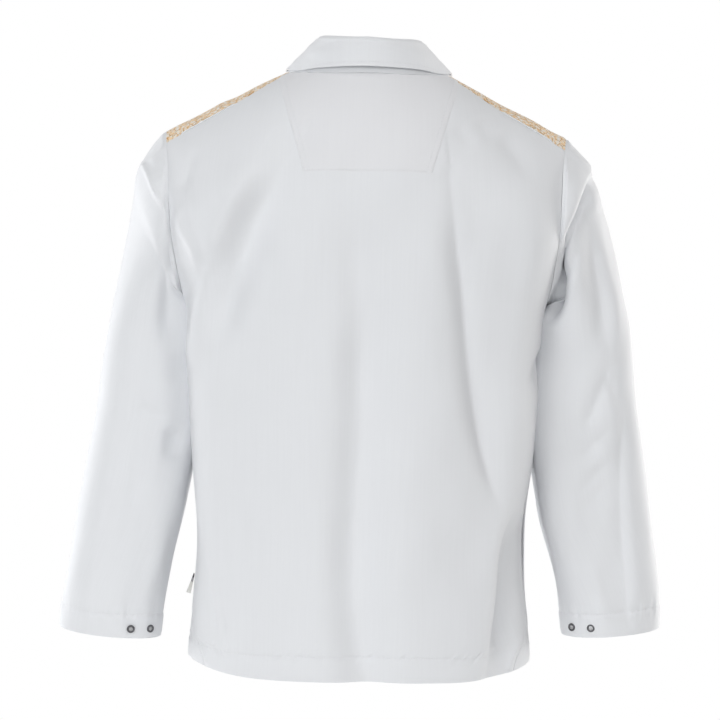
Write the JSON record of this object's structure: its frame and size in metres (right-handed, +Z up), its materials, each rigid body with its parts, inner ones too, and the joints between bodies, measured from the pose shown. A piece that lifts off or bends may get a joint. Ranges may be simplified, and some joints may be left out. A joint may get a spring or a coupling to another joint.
{
  "type": "pullover tunic",
  "caption": "Long-sleeved pullover work tunic with a turned-down collar, patterned shoulder yokes, side vents and open cuffs, filled out as if worn.",
  "frame": {"origin": "middle of the neck at the height of the shoulders, where the wearer carries the tunic", "axes": "+X to the wearer's left, -Y to the front, +Z up along the trunk"},
  "size_m": [0.7634, 0.2637, 0.7834],
  "materials": {
    "white_cloth": "matte twill",
    "printed_cloth": "matte, fine printed lines",
    "stud_metal": "dark plated",
    "label_tape": "woven tape"
  },
  "bodies": {
    "root": {"back": "white_cloth", "front": "white_cloth", "back_neck_panel": "white_cloth", "shoulder_yoke_left": "printed_cloth", "shoulder_yoke_right": "printed_cloth", "collar_stand": "white_cloth", "collar_fall": "white_cloth", "sleeve_left": "white_cloth", "sleeve_right": "white_cloth", "cuff_stud_left_outer": "stud_metal", "cuff_stud_left_inner": "stud_metal", "cuff_stud_right_outer": "stud_metal", "cuff_stud_right_inner": "stud_metal", "side_label": "label_tape"}
  },
  "joints": []
}
